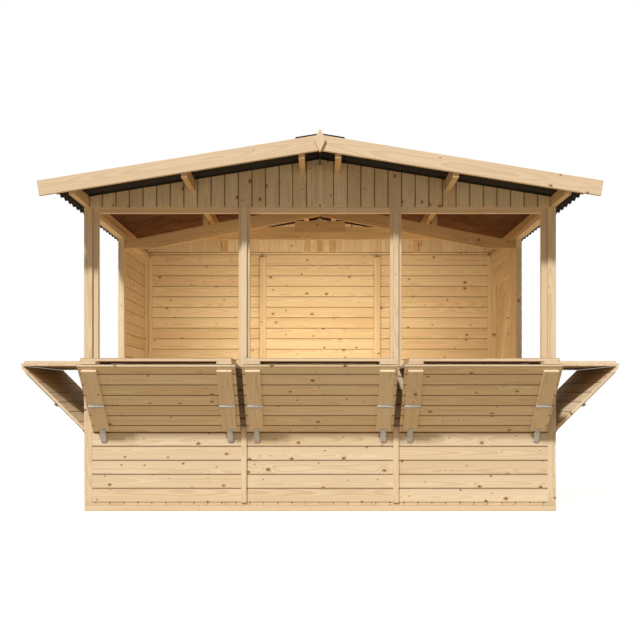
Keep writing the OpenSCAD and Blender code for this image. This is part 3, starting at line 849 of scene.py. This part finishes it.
# Each hasp hangs from a small plate on its batten's foot, and closes on a staple in the wall
hasps = Piece()
battens = islands("support_battens")
for part in islands("counter_hasps"):
    out = out_of(centre_of(part))
    run = X if out.y else Y
    lo = Vector([min(v.co[i] for v in part.verts) for i in range(3)])
    hi = Vector([max(v.co[i] for v in part.verts) for i in range(3)])
    middle = (lo + hi) / 2
    wide = abs((hi - lo).dot(run)) / 2
    thick = abs((hi - lo).dot(out))
    wall = middle - out * thick / 2

    # The foot of the batten's outer face, and the way up along it
    batten = nearest(battens, middle)
    b_mid, _, b_over, b_flat, b_half = frame_of(batten, run)
    if b_flat.dot(out) < 0:
        b_flat = -b_flat
    if b_over.z < 0:
        b_over = -b_over
    foot = b_mid + b_flat * b_half[2] - b_over * b_half[1]
    seat = Matrix.Translation(foot) @ Matrix((run, b_over, b_flat)).transposed().to_4x4()
    tab_h, tab_t = 24 * MM, 2.5 * MM
    metal_part(hasps, box_mesh((-wide, 0, 0), (wide, tab_h, tab_t)), seat)
    for s in (-1, 1):
        screw(hasps, seat @ Vector((s * wide * 0.6, 14 * MM, tab_t)), b_flat, 3.4 * MM, 0.8 * MM)
    barrel = lathe([(0, -wide), (4 * MM, -wide), (4 * MM, wide), (0, wide)], 12)
    bmesh.ops.transform(barrel, matrix=facing(foot + b_flat * 1 * MM, run), verts=barrel.verts)
    hasps.take(barrel, nowhere, 0.5, smooth=False)

    # The strap leans back from the barrel to the wall
    low_end = Vector((middle.x, middle.y, lo.z)) - out * (thick / 2 - 5 * MM)
    low_end += run * (foot - low_end).dot(run)
    along = (low_end - foot).normalized()
    strap_len = (low_end - foot).length
    face = run.cross(along).normalized()
    if face.dot(out) < 0:
        face = -face
    lean = Matrix.Translation(foot) @ Matrix((run, along, face)).transposed().to_4x4()
    round_r = 0.55 * wide
    arc = [math.pi / 2 * i / 6 for i in range(7)]
    right = [(wide - round_r + round_r * math.cos(a), strap_len - round_r + round_r * math.sin(a))
             for a in arc]
    left = [(-x, y) for x, y in reversed(right)]
    strap = plate_mesh([(-wide, 0), (wide, 0)] + right + left, 2.4 * MM)
    metal_part(hasps, strap, lean, 0.8 * MM)
    pin = wall + Z * (lo.z + 14 * MM - wall.z)
    stand = Matrix.Translation(pin) @ Matrix((run, Z, out)).transposed().to_4x4()
    hasps.take(staple(stand), nowhere, 0.5, smooth=True)
    metal_part(hasps, box_mesh((-0.7 * wide, -12 * MM, 0), (0.7 * wide, 12 * MM, 1.6 * MM)), stand)
    part.free()
hasps.make("counter_hasps.iron", "hut", "galvanised", METAL, "counter_hasps")


# ---------------------------------------------------------------- screws

def screw_rows(piece, node, outward=None):
    """Two rows of screws along each timber of a node, about one pair to a board."""
    side, end = 0.27, 26 * MM
    for part in islands(node):
        middle, way, over, flat, half = frame_of(part, longest_edge(part))
        out = outward(middle) if outward else out_of(middle)
        if flat.dot(out) < 0:
            flat = -flat
        count = max(1, round(2 * (half[0] - end) / COVER))
        for k in range(count + 1):
            at = -half[0] + end + 2 * (half[0] - end) * k / count
            for s in (-1, 1):
                point = middle + way * at + over * (s * side * 2 * half[1]) + flat * half[2]
                screw(piece, point, flat)
        part.free()


screws = Piece()
screw_rows(screws, "support_battens")
screw_rows(screws, "counter_battens", outward=lambda c: Z)
screws.make("counter_screws", "hut", "galvanised", METAL)

door_screws = Piece()
screw_rows(door_screws, "door_ledges", outward=lambda c: -X)
door_screws.make("door_screws", "door", "galvanised", METAL)


# ---------------------------------------------------------------- stage

SUN = 0.98                          # the key light on a surface that faces it, where 1 is white
SUN_HEIGHT = 44                     # degrees above the ground
SUN_TURN = 22                       # degrees to the left of the front
SUN_SPREAD = 5                      # degrees across, which softens the shadows
SKY = 0.25                          # the sky's light, on the same scale as the sun's
BOUNCE = (0.57, 0.46, 0.31, 1.0)    # what the ground sends back up
GLOW = 0.8                          # the studio floor's own light, to the camera only
STAGE_HALF = 60.0                   # half the studio floor's width
STAGE_Z = -0.002                    # its height, just under the hut
EYE_AWAY = 5.905                    # the camera's distance from the front wall
EYE_Z = 0.727                       # and its height

def light(kind, name, power, colour, place, aim):
    """A lamp that the camera doesn't see, turned towards a point."""
    data = bpy.data.lights.new(name, kind)
    data.energy = power
    data.color = colour
    lamp = bpy.data.objects.new(name, data)
    bpy.context.scene.collection.objects.link(lamp)
    lamp.location = place
    lamp.rotation_euler = (Vector(aim) - Vector(place)).to_track_quat("-Z", "Y").to_euler()
    lamp.visible_camera = False
    return lamp


def seen_or_lit(tree, seen, lit, target):
    """One shader where the camera looks, and another for the light that it sends on."""
    path = tree.nodes.new("ShaderNodeLightPath")
    mix = tree.nodes.new("ShaderNodeMixShader")
    tree.links.new(path.outputs["Is Camera Ray"], mix.inputs[0])
    tree.links.new(lit, mix.inputs[1])
    tree.links.new(seen, mix.inputs[2])
    tree.links.new(mix.outputs[0], target)


def make_stage():
    """A pale floor and sky, the sun, and two weak lamps for the light inside the hut."""
    mesh = bpy.data.meshes.new("studio_floor")
    corners = [(x * STAGE_HALF, y * STAGE_HALF, STAGE_Z)
               for x, y in ((-1, -1), (1, -1), (1, 1), (-1, 1))]
    mesh.from_pydata(corners, [], [(0, 1, 2, 3)])
    ground = bpy.data.objects.new("studio_floor", mesh)
    bpy.context.scene.collection.objects.link(ground)
    g = Graph("studio_white")
    mesh.materials.append(g.finish(Base_Color=(0.93, 0.93, 0.93, 1.0), Roughness=1.0,
                                   Emission_Color=(1.0, 1.0, 1.0, 1.0), Emission_Strength=GLOW))
    g.put(g.shader.inputs["Specular IOR Level"], 0.0)
    bounce = g.add("ShaderNodeBsdfDiffuse", {"Color": BOUNCE})
    seen_or_lit(g.tree, g.shader.outputs[0], bounce.outputs[0],
                g.tree.nodes["Material Output"].inputs["Surface"])

    world = bpy.data.worlds.new("studio_sky")
    world.use_nodes = True
    tree = world.node_tree
    white = tree.nodes["Background"]
    white.inputs[0].default_value = (1.0, 1.0, 1.0, 1.0)
    dim = tree.nodes.new("ShaderNodeBackground")
    dim.inputs[0].default_value = (1.0, 1.0, 1.0, 1.0)
    dim.inputs[1].default_value = SKY
    seen_or_lit(tree, white.outputs[0], dim.outputs[0],
                tree.nodes["World Output"].inputs["Surface"])
    bpy.context.scene.world = world

    height, turn = math.radians(SUN_HEIGHT), math.radians(SUN_TURN)
    sun_from = Vector((-math.sin(turn) * math.cos(height), -math.cos(turn) * math.cos(height),
                       math.sin(height)))
    key = light("SUN", "key_light", math.pi * SUN, (1.0, 0.985, 0.95), sun_from, (0, 0, 0))
    key.data.angle = math.radians(SUN_SPREAD)
    hatch = light("AREA", "hatch_light", 11, (1.0, 0.85, 0.56), (0.0, -0.9, 1.15), (0.0, 1.0, 1.1))
    floor = light("AREA", "floor_light", 9, (1.0, 0.8, 0.45), (0.0, -0.1, floor_z + 0.02),
                  (0.0, -0.1, 2.0))
    for lamp, size in ((hatch, (1.8, 0.6)), (floor, (2.2, 1.3))):
        lamp.data.shape = "RECTANGLE"
        lamp.data.size, lamp.data.size_y = size
    hatch.data.spread = math.radians(95)
    bpy.context.scene.view_settings.view_transform = "Standard"


def make_camera():
    """The photograph's view: level, straight at the front, framed with some shift."""
    data = bpy.data.cameras.new("camera")
    data.sensor_width = 36
    data.lens = 52.26
    data.shift_y = 0.1203
    cam = bpy.data.objects.new("camera", data)
    bpy.context.scene.collection.objects.link(cam)
    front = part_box("front_wall")[0].y
    cam.location = (0.0, front - EYE_AWAY, EYE_Z)
    cam.rotation_euler = (math.radians(90), 0, 0)
    bpy.context.scene.camera = cam


make_stage()
make_camera()
